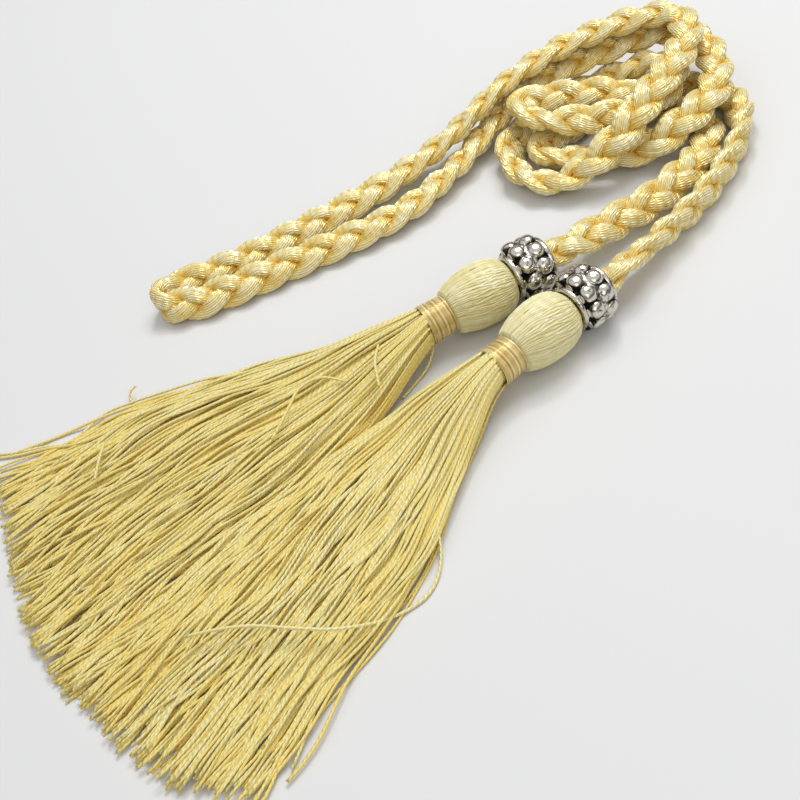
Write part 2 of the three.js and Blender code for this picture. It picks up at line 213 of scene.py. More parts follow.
def mesh_piece(name, points, faces, face_uvs, shade, material, replaced):
    """One smooth piece on the root body. faces is a list of arrays of vertex numbers, one array
    for each count of corners, and face_uvs their texture places in the same order. shade is one
    value for each vertex, which the materials read."""
    mesh = bpy.data.meshes.new(name)
    mesh.vertices.add(len(points))
    mesh.vertices.foreach_set("co", np.asarray(points, dtype=np.float32).ravel())
    corners = np.concatenate([f.ravel() for f in faces])
    totals = np.concatenate([np.full(len(f), f.shape[1]) for f in faces])
    starts = np.concatenate([[0], np.cumsum(totals)[:-1]])
    mesh.loops.add(len(corners))
    mesh.loops.foreach_set("vertex_index", corners.astype(np.int32))
    mesh.polygons.add(len(totals))
    mesh.polygons.foreach_set("loop_start", starts.astype(np.int32))
    mesh.update(calc_edges=True)
    mesh.polygons.foreach_set("use_smooth", np.ones(len(totals), dtype=bool))
    layer = mesh.uv_layers.new(name="UVMap")
    uvs = np.concatenate([u.reshape(-1, 2) for u in face_uvs])
    layer.data.foreach_set("uv", uvs.astype(np.float32).ravel())
    attribute = mesh.attributes.new(name="shade", type="FLOAT", domain="POINT")
    attribute.data.foreach_set("value", np.asarray(shade, dtype=np.float32).ravel())
    mesh.materials.append(material)
    mesh.validate()
    piece = bpy.data.objects.new(name, mesh)
    bpy.context.scene.collection.objects.link(piece)
    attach(piece, "root")
    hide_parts(*replaced)
    return piece


def corner_places(u_low, u_high, v_low, v_high):
    """Texture places of four-sided faces, corner by corner."""
    corners = [(u_low, v_low), (u_high, v_low), (u_high, v_high), (u_low, v_high)]
    return np.stack([np.stack(corner, -1) for corner in corners], -2).reshape(-1, 4, 2)


def tube_faces(rings, around, along):
    """Faces and texture places of tubes. rings has the shape tubes, rings, points, 3. The first
    texture place runs from 0 to around, and along gives the second for each ring."""
    tubes, count, sides = rings.shape[:3]
    tube = np.arange(tubes)[:, None, None] * count * sides
    ring = np.arange(count - 1)[None, :, None] * sides
    side = np.arange(sides)[None, None, :]
    near = tube + ring + side
    beside = tube + ring + (side + 1) % sides
    quads = np.stack([near, beside, beside + sides, near + sides], -1).reshape(-1, 4)
    step = around / sides
    u_low = np.broadcast_to(side * step, near.shape)
    v_low = np.broadcast_to(along[:, :-1, None], near.shape)
    v_high = np.broadcast_to(along[:, 1:, None], near.shape)
    first = (tube + side)[:, 0, ::-1]
    last = (tube + (count - 1) * sides + side)[:, 0, :]
    caps = np.concatenate([first, last])
    uv = corner_places(u_low, u_low + step, v_low, v_high)
    return [quads, caps], [uv, np.zeros((len(caps), sides, 2))]


def loop_faces(columns, along):
    """Faces and texture places of a surface that closes on itself both ways, as a ring does.
    along has the second texture place of each row."""
    rows = len(along)
    row = np.arange(rows)[:, None]
    column = np.arange(columns)[None, :]
    here = row * columns + column
    over = (row + 1) % rows * columns + column
    here_next = row * columns + (column + 1) % columns
    over_next = (row + 1) % rows * columns + (column + 1) % columns
    quads = np.stack([here, here_next, over_next, over], -1).reshape(-1, 4)
    step = 1 / columns
    u_low = np.broadcast_to(column * step, here.shape)
    v_low = np.broadcast_to(along[:, None], here.shape)
    v_high = np.broadcast_to(np.append(along[1:], along[-1])[:, None], here.shape)
    return [quads], [corner_places(u_low, u_low + step, v_low, v_high)]


def flutes(count, points_each):
    """For the points round a fluted outline: the number of each point's flute, and the point's
    height on it, which is 1 on the crown."""
    point = np.arange(count * points_each)
    place = (point % points_each) / points_each
    return point // points_each, np.sqrt(1 - (2 * np.abs(place - 0.5)) ** 2 * FLUTE_DEPTH)


def to_world(points, frame_of):
    """Points of a frame that is given as its place and its turn."""
    place, turn = frame_of
    return points @ np.array(turn).T + np.array(place)


def turned_ring(name, along, radius, frame_of, shade, material, replaced):
    """A closed ring about a level axis. radius has the shape places along, places round."""
    columns = radius.shape[1]
    angle = np.arange(columns) * 2 * math.pi / columns
    points = np.stack([
        np.broadcast_to(along[:, None], radius.shape),
        radius * np.cos(angle)[None], radius * np.sin(angle)[None],
    ], -1).reshape(-1, 3)
    faces, uvs = loop_faces(columns, along)
    mesh_piece(name, to_world(points, frame_of), faces, uvs, shade, material, replaced)


def level_turn(heading):
    """The turn that brings the X axis round to a compass angle."""
    return Matrix.Rotation(math.radians(heading), 3, "Z")


# The plait's route


def rows_through_bead(end):
    """Two rows of the route, at the mouths of a bead's hole."""
    along = ground_direction(end["heading"])
    places = [end["bead"] + along * BEAD_LENGTH * share for share in (-0.5, 0.5)]
    return [(*place, 0) for place in places]


def whole_route():
    """Rows from the first tassel to the second. The first half is travelled backwards, so its
    leans change sign, and the plait has turned over once it is past the fold."""
    first = UPPER_LEG + UPPER_HEAP + UPPER_END + rows_through_bead(ENDS[0])
    second = LOWER_LEG + LOWER_HEAP + LOWER_END + rows_through_bead(ENDS[1])
    rows = [(x, y, z, -lean) for x, y, z, lean in reversed(first)]
    rows += FOLD
    rows += [(x, y, z, lean - 180) for x, y, z, lean in second]
    return np.array(rows, dtype=float)


def centripetal_curve(rows, per_row=16):
    """A centripetal Catmull-Rom curve through the rows' points, with the leans eased between."""
    points = rows[:, :3]
    padded = np.vstack([2 * points[0] - points[1], points, 2 * points[-1] - points[-2]])
    found = []
    for i in range(len(points) - 1):
        p0, p1, p2, p3 = padded[i:i + 4]
        d0, d1, d2 = (math.sqrt(np.linalg.norm(b - a)) for a, b in ((p0, p1), (p1, p2), (p2, p3)))
        start = ((p1 - p0) / d0 - (p2 - p0) / (d0 + d1) + (p2 - p1) / d1) * d1
        stop = ((p2 - p1) / d1 - (p3 - p1) / (d1 + d2) + (p3 - p2) / d2) * d1
        for t in np.arange(per_row) / per_row:
            place = (p1 + start * t + (3 * (p2 - p1) - 2 * start - stop) * t * t
                     + (2 * (p1 - p2) + start + stop) * t ** 3)
            lean = rows[i, 3] + (rows[i + 1, 3] - rows[i, 3]) * t
            found.append((*place, lean))
    found.append(tuple(rows[-1]))
    return np.array(found)


def smooth_table(rows, per_row=8):
    """Two columns, eased between the rows of a short table."""
    table = np.array([(a, b, 0, 0) for a, b in rows], dtype=float)
    curve = centripetal_curve(table, per_row)
    return curve[:, 0], curve[:, 1]


def evenly(curve, step):
    """The curve's rows at even steps along it, and each row's distance from the start."""
    gaps = np.linalg.norm(np.diff(curve[:, :3], axis=0), axis=1)
    distance = np.concatenate([[0], np.cumsum(gaps)])
    places = np.linspace(0, distance[-1], round(distance[-1] / step) + 1)
    return np.stack([np.interp(places, distance, column) for column in curve.T], 1), places


def plait_frames(rows):
    """Along, across and over directions of the plait at each row."""
    travel = unit(np.gradient(rows[:, :3], axis=0))
    left = unit(np.cross([0.0, 0.0, 1.0], travel))
    up = np.cross(travel, left)
    lean = np.radians(rows[:, 3])[:, None]
    across = left * np.cos(lean) + up * np.sin(lean)
    over = up * np.cos(lean) - left * np.sin(lean)
    return travel, across, over


# The plait's strands


def even_ellipse(count, half_width, half_thickness):
    """Points at even distances round an ellipse, and the outward direction at each."""
    angles = np.linspace(0, 2 * math.pi, 721)
    outline = np.stack([half_width * np.cos(angles), half_thickness * np.sin(angles)], 1)
    gaps = np.linalg.norm(np.diff(outline, axis=0), axis=1)
    distance = np.concatenate([[0], np.cumsum(gaps)])
    places = np.linspace(0, distance[-1], count, endpoint=False)
    angle = np.interp(places, distance, angles)
    points = np.stack([half_width * np.cos(angle), half_thickness * np.sin(angle)], 1)
    outward = unit(np.stack([np.cos(angle) / half_width, np.sin(angle) / half_thickness], 1))
    return points, outward


# The strands' shade: what the yarn's crown adds to a base, which leaves painted shade in the
# valleys between yarns, what its own tone adds, and how much is left of it deep in the plait, as
# painted shade where the strands cover each other, with the shares of its outline between which
# that changes
YARN_VALLEY_PAINTED_SHADE = 0.55
OWN_SHADE = 0.3
BASE_SHADE = 0.15
DEEP_PAINTED_SHADE = 0.2
PAINTED_SHADE_DEEP_TO_OUTER = (0.35, 1.05)


def make_strand(number, rows, distance, material):
    """One strand of the plait: a flattened bundle that weaves from edge to edge, with its yarns
    as round flutes. Returns the piece, the points that the strand follows and its length."""
    rng = np.random.default_rng(40 + number)
    travel, across, over = plait_frames(rows)
    period = STRANDS * SCALLOP_PITCH
    phase = 2 * math.pi * (distance / period + number / STRANDS)
    from_end = np.minimum(distance, distance[-1] - distance)
    free = smoothstep(from_end, BEAD_LENGTH, BEAD_LENGTH + PLAIT_WIDTH)
    reach = WEAVE_REACH * (REACH_IN_BEAD + (1 - REACH_IN_BEAD) * free)
    depth = PLAIT_THICKNESS * (WEAVE_DEPTH + DEEPER_IN_BEAD * (1 - free))
    shift = reach * np.sin(phase)
    rise = depth * np.sin(2 * phase)
    centres = rows[:, :3] + across * shift[:, None] + over * rise[:, None]
    along = unit(np.gradient(centres, axis=0))
    wide = unit(np.cross(over, along))
    thick = np.cross(along, wide)
    roll = (-STRAND_ROLL * np.sin(2 * phase) * np.sin(phase))[:, None]
    wide, thick = (wide * np.cos(roll) + thick * np.sin(roll),
                   thick * np.cos(roll) - wide * np.sin(roll))

    yarn, ridge = flutes(YARNS_ROUND_STRAND, POINTS_ROUND_YARN)
    outline, outward = even_ellipse(len(yarn), STRAND_HALF_WIDTH, STRAND_HALF_THICKNESS)
    proud = rng.uniform(*YARN_PROUD, YARNS_ROUND_STRAND)
    starts = rng.uniform(0, 2 * math.pi, (2, YARNS_ROUND_STRAND))
    wander = YARN_WAVE * sum(np.sin(distance[:, None] / length + start[None])
                             for length, start in zip(YARN_WAVE_LENGTHS, starts))
    lift = proud[yarn][None] + wander[:, yarn] + YARN_ROUND * ridge[None]
    flat = outline[None] + outward[None] * lift[..., None]
    rings = centres[:, None] + wide[:, None] * flat[..., :1] + thick[:, None] * flat[..., 1:]

    steps = np.linalg.norm(np.diff(centres, axis=0), axis=1)
    strand_length = np.concatenate([[0], np.cumsum(steps)])
    tone = rng.uniform(0, 1, YARNS_ROUND_STRAND)
    from_middle = rings - rows[:, None, :3]
    out_wide = (from_middle * across[:, None]).sum(-1) / (PLAIT_WIDTH / 2)
    out_thick = (from_middle * over[:, None]).sum(-1) / (PLAIT_THICKNESS / 2)
    # Painted shade: darker deep in the plait, where the strands cover each other, paler on its
    # outside
    outer = smoothstep(np.hypot(out_wide, out_thick), *PAINTED_SHADE_DEEP_TO_OUTER)
    # Painted shade in the valleys between yarns, whose crowns are paler, over each yarn's own tone
    shade = YARN_VALLEY_PAINTED_SHADE * ridge[None] + OWN_SHADE * tone[yarn][None] + BASE_SHADE
    shade = shade * (DEEP_PAINTED_SHADE + (1 - DEEP_PAINTED_SHADE) * outer)
    rings = rings[None]
    faces, uvs = tube_faces(rings, YARNS_ROUND_STRAND, strand_length[None])
    piece = mesh_piece(f"plait_strand_{number + 1}", rings.reshape(-1, 3), faces, uvs, shade,
                       material, ["braid"])
    return piece, centres, strand_length[-1]


def make_plait(material):
    rows, distance = evenly(centripetal_curve(whole_route()), ROUTE_STEP)
    rows[:, :3] -= np.array(LAYOUT_CENTRE)
    for number in range(STRANDS):
        piece, path, length = make_strand(number, rows, distance, material)


# Beads: how fully the belly and the dots are rounded, and where the metal goes from tarnished to
# polished, by radius on the dots and the rims and by distance from the middle on the rims' faces
BELLY_FULLNESS = 0.6
DOT_FULLNESS = 1.5
DOT_POLISH = (BELLY_DIAMETER / 2 - 0.00022, BEAD_DIAMETER / 2 * 0.92)
RIM_POLISH = (RIM_DIAMETER / 2 - RIM_ROUNDING, RIM_DIAMETER / 2 * 0.985)
FACE_POLISH = (BEAD_LENGTH / 2 - RIM_ROUNDING, BEAD_LENGTH / 2 - RIM_WIDTH * 0.1)


def barrel_profile():
    """Places along the bead and radii: out over the near rim, the belly and the far rim, and
    back through the hole."""
    half = BEAD_LENGTH / 2
    rim = RIM_DIAMETER / 2
    hole = BEAD_HOLE / 2
    soft = RIM_ROUNDING
    quarter = np.linspace(0, math.pi / 2, 6)
    rise = [(soft * (1 - math.sin(a)), soft * (1 - math.cos(a))) for a in quarter]
    near = [(-half + a, hole + b) for a, b in rise]
    near += [(-half + b, rim - a) for a, b in rise]
    near += [(-half + RIM_WIDTH - a, rim - b) for a, b in rise]
    groove = -half + RIM_WIDTH
    belly = np.linspace(groove, -groove, BELLY_ROWS)[1:-1]
    foot = rim - soft * 1.4
    arch = np.cos(belly / (half - RIM_WIDTH) * math.pi / 2) ** BELLY_FULLNESS
    bulge = foot + (BELLY_DIAMETER / 2 - foot) * arch
    outside = near + list(zip(belly, bulge))
    outside += [(-x, r) for x, r in reversed(near)]
    inside = [(x, hole) for x in np.linspace(half - soft, -half + soft, HOLE_ROWS)[1:-1]]
    return np.array(outside + inside), len(outside)


def dot_radius(along, angle):
    """Outer radius of the bead's dots at a place along it and an angle round it."""
    reach = (BEAD_DIAMETER - DOT_DIAMETER) / 2
    pitch = 2 * math.pi / DOTS_PER_ROW
    highest = np.zeros(np.broadcast(along, angle).shape)
    for side in (-0.5, 0.5):
        offset = (angle - side / 2 * pitch + pitch / 2) % pitch - pitch / 2
        away = (along - side * DOT_ROW_SPACING) ** 2 + (reach * np.sin(offset)) ** 2
        left = 1 - (away / (DOT_DIAMETER / 2 + DOT_FOOT) ** 2) ** DOT_FULLNESS
        top = reach * np.cos(offset) + DOT_DIAMETER / 2 * np.sqrt(np.maximum(left, 0))
        highest = np.maximum(highest, np.where(left > 0, top, 0))
    return highest


def make_bead(number, end, material):
    """A barrel with plain rims and two rows of dots. Its shade is the polish of the metal."""
    profile, outer = barrel_profile()
    columns = DOTS_PER_ROW * POINTS_ROUND_DOT
    angle = np.arange(columns) * 2 * math.pi / columns
    from_middle = np.abs(profile[:, :1])
    radius = np.broadcast_to(profile[:, 1:], (len(profile), columns))
    on_belly = from_middle < BEAD_LENGTH / 2 - RIM_WIDTH * 0.9
    on_belly[outer:] = False
    dots = dot_radius(profile[:, :1], angle[None])
    radius = np.where(on_belly, np.maximum(radius, dots), radius)
    rims = np.maximum(smoothstep(radius, *RIM_POLISH), smoothstep(from_middle, *FACE_POLISH))
    on_rim = from_middle > BEAD_LENGTH / 2 - RIM_WIDTH
    polish = np.where(on_rim, rims, smoothstep(radius, *DOT_POLISH))
    polish[outer:] = 0
    place = end["bead"] - LAYOUT_CENTRE
    turned_ring(f"silver_bead_{number}", profile[:, 0], radius, (place, level_turn(end["heading"])),
                polish, material, [f"bead_{number}"])


# Tassels. The head's shape is its radius along its length, both as shares.
HEAD_SHAPE = [
    (0, 0.66), (0.06, 0.78), (0.16, 0.9), (0.3, 0.98), (0.45, 1),
    (0.6, 0.98), (0.76, 0.92), (0.9, 0.82), (1, 0.72),
]
NECK_END = HEAD_LENGTH + BINDING_LENGTH + 2 * SEAT_GAP
FRINGE_START = NECK_END + SEAT_GAP
ROOT_RADIUS = NECK_DIAMETER / 2 + BINDING_WALL
HEAD_HEIGHT = HEAD_DIAMETER / 2

# The threads over the head: the round of each and how far single ones stand proud, in metres,
# the angle by which all of them slant, and their waves as angle and length
HEAD_THREAD_ROUND = 0.00024
HEAD_THREAD_PROUD = (-0.0001, 0.0001)
HEAD_SLANT = 0.42
HEAD_WAVES = ((0.018, 0.0010), (0.030, 0.0021))
# Painted shade: the share by which the head's threads are paler on their crowns than in the valleys
# between them; the rest is each thread's own tone
HEAD_VALLEY_PAINTED_SHADE = 0.62

# The binding: its threads' round and its folds' height, in metres. Each set of folds has its
# share of that height, a spacing, a bend, and the count and direction of its bends round the
# neck. The shades are what the ridges and the folds add to a base, and that base: the ridges
# leave painted shade in the grooves between turns, and the folds paint light on their crests and
# shade in their troughs. The profile is a share of the wall, with what the middle and the flare
# towards the fringe add to it.
BINDING_ROUND = 0.0001
BINDING_FOLD = 0.00006
BINDING_FOLDS = ((0.6, 0.00019, 1.6, 1, 1), (0.5, 0.00012, -1.2, 2, -1))
BINDING_PAINTED_SHADES = (0.35, 0.36, 0.2)
BINDING_PROFILE = (0.3, 0.25, 0.4)
CROWN_LENGTH = BINDING_LENGTH * 0.12


def tassel_frame(end):
    """Where the tassel's own frame lies: under the head's top, with X along the head."""
    along = ground_direction(end["heading"]) * (BEAD_LENGTH / 2 + SEAT_GAP)
    place = end["bead"] + along - LAYOUT_CENTRE
    place.z = 0
    return place, level_turn(end["heading"])


def make_head(number, end, material):
    """The bulb of the head with its threads as wavy flutes, and the neck inside the binding."""
    rng = np.random.default_rng(70 + number)
    thread, ridge = flutes(THREADS_ROUND_HEAD, POINTS_ROUND_HEAD_THREAD)
    sides = len(thread)
    shares = np.linspace(0, 1, HEAD_ROWS)
    bulb = np.interp(shares, *smooth_table(HEAD_SHAPE)) * HEAD_HEIGHT
    along = np.concatenate([shares * HEAD_LENGTH, [HEAD_LENGTH + SEAT_GAP, NECK_END, FRINGE_START]])
    radius = np.concatenate([bulb, [NECK_DIAMETER / 2, NECK_DIAMETER / 2, ROOT_RADIUS * 0.9]])
    starts = rng.uniform(0, 2 * math.pi, (2, THREADS_ROUND_HEAD))
    sway = sum(height * np.sin(along[:, None] / length + start[None])
               for (height, length), start in zip(HEAD_WAVES, starts))
    slant = HEAD_SLANT * along[:, None] / HEAD_LENGTH
    angle = (np.arange(sides) * 2 * math.pi / sides)[None] + slant + sway[:, thread]
    proud = rng.uniform(*HEAD_THREAD_PROUD, THREADS_ROUND_HEAD)[thread][None]
    taper = smoothstep(along, 0, 0.001)[:, None]
    reach = radius[:, None] - HEAD_THREAD_ROUND
    reach = reach + (HEAD_THREAD_ROUND * ridge[None] + proud) * taper
    points = np.stack([
        np.broadcast_to(along[:, None], reach.shape),
        reach * np.cos(angle), HEAD_HEIGHT + reach * np.sin(angle),
    ], -1)
    rings = to_world(points, tassel_frame(end))[None]
    tone = rng.uniform(0, 1, THREADS_ROUND_HEAD)[thread]
    # Painted shade in the valleys between the head's threads, over each thread's own tone
    shade = HEAD_VALLEY_PAINTED_SHADE * ridge + (1 - HEAD_VALLEY_PAINTED_SHADE) * tone
    faces, uvs = tube_faces(rings, THREADS_ROUND_HEAD, along[None])
    mesh_piece(f"tassel_head_{number}", rings.reshape(-1, 3), faces, uvs,
               np.broadcast_to(shade, reach.shape), material, [f"tassel_{number}"])


def make_binding(number, end, material):
    """Thread wound round the neck: a ring with one ridge for each turn and uneven folds."""
    inner = NECK_DIAMETER / 2 + SEAT_GAP
    start = HEAD_LENGTH + SEAT_GAP
    outside = np.linspace(start, start + BINDING_LENGTH, BINDING_TURNS * ROWS_IN_TURN + 1)
    inside = np.linspace(start + BINDING_LENGTH, start, 4)[1:-1]
    share_round = np.arange(BINDING_COLUMNS)[None] / BINDING_COLUMNS
    angle = 2 * math.pi * share_round
    along = outside[:, None] - start
    turn = along / BINDING_LENGTH * BINDING_TURNS - share_round
    ridge = 1 - (2 * np.abs(turn % 1 - 0.5)) ** 2
    crown = smoothstep(np.minimum(along, BINDING_LENGTH - along), 0, CROWN_LENGTH)
    flare = (along / BINDING_LENGTH) ** 2
    folds = sum(height * np.sin(along / spacing + bend * np.sin(count * angle + way * number))
                for height, spacing, bend, count, way in BINDING_FOLDS)
    at_ends, of_crown, of_flare = BINDING_PROFILE
    wound = inner + BINDING_WALL * (at_ends + of_crown * crown + of_flare * flare)
    wound = wound + BINDING_ROUND * ridge + BINDING_FOLD * folds
    unseen = np.zeros((len(inside), BINDING_COLUMNS))
    radius = np.concatenate([wound, unseen + inner])
    of_ridge, of_folds, base = BINDING_PAINTED_SHADES
    # Painted shade in the grooves between turns and in the folds' troughs, painted light on the
    # folds' crests
    shade = np.concatenate([of_ridge * ridge + base + of_folds * folds, unseen])
    place, turned = tassel_frame(end)
    place = place + Vector((0, 0, HEAD_HEIGHT))
    turned_ring(f"binding_thread_{number}", np.concatenate([outside, inside]), radius,
                (place, turned), shade, material, [f"neck_binding_{number}"])


# Fringes. Places are shares of the fringe's length. Low and high are the edges of the fan at
# those places, to either side of the head's line, and reaches go from one edge to the other.
PLACES = [0, 0.05, 0.1, 0.18, 0.3, 0.45, 0.64, 1]
FRINGES = [
    {
        "low": [-0.046, -0.066, -0.095, -0.138, -0.186, -0.238, -0.28, -0.285],
        "high": [0.046, 0.075, 0.1, 0.135, 0.172, 0.205, 0.245, 0.31],
        "reaches": [0.95, 0.97, 0.99, 1.01, 1.01, 1.0],
    },
    {
        "low": [-0.046, -0.06, -0.08, -0.108, -0.118, -0.122, -0.122, -0.12],
        "high": [0.046, 0.066, 0.092, 0.132, 0.195, 0.253, 0.305, 0.4],
        "reaches": [1.04, 1.03, 1.03, 1.01, 0.97, 0.9],
    },
]


# Stray threads, each with the fringe that it leaves: points in the layout's own frame
STRAYS = [
    (1, [(-0.0391, 0.0146, 0.003), (-0.0487, 0.0180, 0.0018), (-0.0586, 0.0192, 0.0012),
         (-0.0656, 0.0196, 0.001), (-0.072, 0.0192, 0.0008), (-0.0778, 0.0154, 0.0008)]),
    (1, [(-0.0635, 0.0228, 0.0025), (-0.0649, 0.0223, 0.002), (-0.0657, 0.0213, 0.001),
         (-0.0651, 0.0193, 0.0006)]),
    (1, [(-0.0668, 0.0102, 0.004), (-0.078, 0.0114, 0.002), (-0.0867, 0.0149, 0.0006),
         (-0.0938, 0.0162, 0.0005), (-0.0992, 0.0178, 0.0005)]),
    (1, [(-0.068, 0.0102, 0.004), (-0.0786, 0.0118, 0.0016), (-0.0866, 0.0156, 0.0006),
         (-0.0937, 0.0171, 0.0005), (-0.0982, 0.0186, 0.0005)]),
    (1, [(-0.0829, 0.0057, 0.0025), (-0.0904, 0.0075, 0.001), (-0.0953, 0.0065, 0.0005),
         (-0.0991, 0.0055, 0.0005)]),
    (1, [(-0.0085, 0.0002, 0.0105), (-0.0103, -0.0056, 0.0116), (-0.0111, -0.0117, 0.0106)]),
    (1, [(-0.0715, 0.0049, 0.0056), (-0.0725, -0.0015, 0.0074), (-0.0741, -0.0058, 0.0066)]),
    (1, [(-0.0175, -0.0059, 0.0096), (-0.0223, -0.0029, 0.01), (-0.027, -0.0036, 0.0098),
         (-0.03, -0.0073, 0.0096), (-0.0331, -0.0113, 0.009), (-0.0356, -0.0138, 0.0082)]),
    (1, [(0.004, 0.0043, 0.0036), (0.0001, -0.0012, 0.0012), (-0.0036, -0.0042, 0.0005),
         (-0.0073, -0.0072, 0.0005)]),
    (2, [(-0.0092, -0.0462, 0.004), (-0.0102, -0.0505, 0.0012), (-0.0126, -0.0559, 0.0005),
         (-0.0158, -0.059, 0.0005), (-0.0195, -0.0603, 0.0005), (-0.024, -0.0618, 0.002),
         (-0.0285, -0.0636, 0.0052), (-0.0337, -0.0636, 0.0072), (-0.0406, -0.0611, 0.0082),
         (-0.0476, -0.0578, 0.0084), (-0.0543, -0.0555, 0.0078), (-0.0603, -0.0539, 0.0068)]),
]

# How the threads spread. Each bundle has its place across the fan, a golden step from the last,
# and its rank in the pile; spreads are those of single threads about their bundle.
GOLDEN_STEP = 0.618034
ACROSS_SPREAD = 0.032
RANK_SPREAD = 0.12
# Strays get a rank above the pile's top, which paints them paler, as threads lying in the open
STRAY_RANK = 1.15

# The longest thread as a share of the fringe's length, how much shorter others are, and how
# few of them are that short
LONGEST = 1.01
SHORTER_BY = 0.15
FEW_SHORT = 1.7

# The fan: how far its bundles overlap the edges, how much narrower it is on top of the pile and
# at its root, and the pile's height at its edges as a share of that in the middle
FAN_OVERLAP = 0.04
NARROWER_ON_TOP = 0.16
NARROWER_AT_ROOT = 0.2
EDGE_LEVEL = 0.35

# The root: how far the threads start inside the binding, in metres, how they crowd towards its
# top, how round their ring is, and the share of the fringe by which they have come down
ROOT_OVERLAP = 0.0012
ROOT_CROWDING = 0.45
ROOT_ROUNDNESS = 0.9
FALL_END = 0.26

# Threads' thickness: the range of single threads, and how thin they start at the root. Their
# shade is a base with what their rank and chance add to it: the rank adds painted shade, darker
# low in the pile where the threads above shade them, and chance adds each thread's own tone.
THICKNESS_RANGE = (0.88, 1.12)
THIN_AT_ROOT = 0.8
THREAD_TONES_AND_PAINTED_SHADE = (0.1, 0.4, 0.4)

# Sways of the threads in metres, as height and length: to the side by bundle and by thread, and
# up and down likewise. Single threads also lean by the spreads, all along and at the tip.
BUNDLE_SWAYS = ((0.0011, 0.0135), (0.0007, 0.0062))
THREAD_SWAYS = ((0.00024, 0.0034), (0.0005, 0.009))
BUNDLE_LIFT = (0.0003, 0.006)
THREAD_LIFT = (0.00016, 0.0027)
LEAN_SPREAD = 0.0012
TIP_SPREAD = 0.0022

# The shares of a thread's length between which it gets free to sway, and its tip to stray
LOOSE_SPAN = (0.04, 0.5)
TIP_SPAN = (0.75, 1)

# The pile's top above the ground along the fringe, in metres
PILE_PLACES = [0, 0.12, 0.3, 0.6, 0.85, 1]
PILE_HEIGHTS = [0.0112, 0.0102, 0.0084, 0.0068, 0.0044, 0.0024]

# The core: its reach along the fringe and across the fan, as shares, how far it lies under the
# pile's top at the root, and how much more once fallen and at the tips, and its rings
CORE_REACH = 0.86
CORE_WIDTH = 0.78
CORE_BELOW_TOP = 0.0016
CORE_SINKS = 0.0006
CORE_ABOVE_GROUND = 0.0004
CORE_SKIN_TURNS = 60
CORE_RINGS = 26
CORE_SIDES = 28
CORE_SHADE = 0.5


def stray_lines(number):
    """The stray threads of one fringe, as lines of as many steps as the other threads."""
    lines = []
    for fringe, points in STRAYS:
        if fringe == number:
            rows = np.array([(*point, 0) for point in points])
            curve, distance = evenly(centripetal_curve(rows), 0.0002)
            places = np.linspace(0, distance[-1], THREAD_STEPS)
            line = np.stack([np.interp(places, distance, column) for column in curve[:, :3].T], 1)
            lines.append(line - np.array(LAYOUT_CENTRE))
    return np.array(lines)


def pile_height(share):
    """Height of the pile's top above the ground at shares of the fringe's length."""
    return np.interp(share, PILE_PLACES, PILE_HEIGHTS)


def edge_at(share, edge):
    """An edge of the fan at shares of the fringe's length, eased between the places."""
    return np.interp(share, *smooth_table(list(zip(PLACES, edge)))) * FRINGE_LENGTH


def thread_rings(centres, radius, rng):
    """Rings round many lines. centres has the shape threads, steps, 3."""
    travel = unit(np.gradient(centres, axis=1))
    left = unit(np.cross([0.0, 0.0, 1.0], travel))
    up = np.cross(travel, left)
    start = rng.uniform(0, 2 * math.pi, (len(centres), 1, 1, 1))
    angle = start + (np.arange(THREAD_SIDES) * 2 * math.pi / THREAD_SIDES)[None, None, :, None]
    outward = left[:, :, None] * np.cos(angle) + up[:, :, None] * np.sin(angle)
    return centres[:, :, None] + radius[..., None, None] * outward


def waves(away, rows, phases):
    """The sum of sine waves along the threads. Rows are height and length."""
    return sum(height * np.sin(away / length + phase)
               for (height, length), phase in zip(rows, phases))


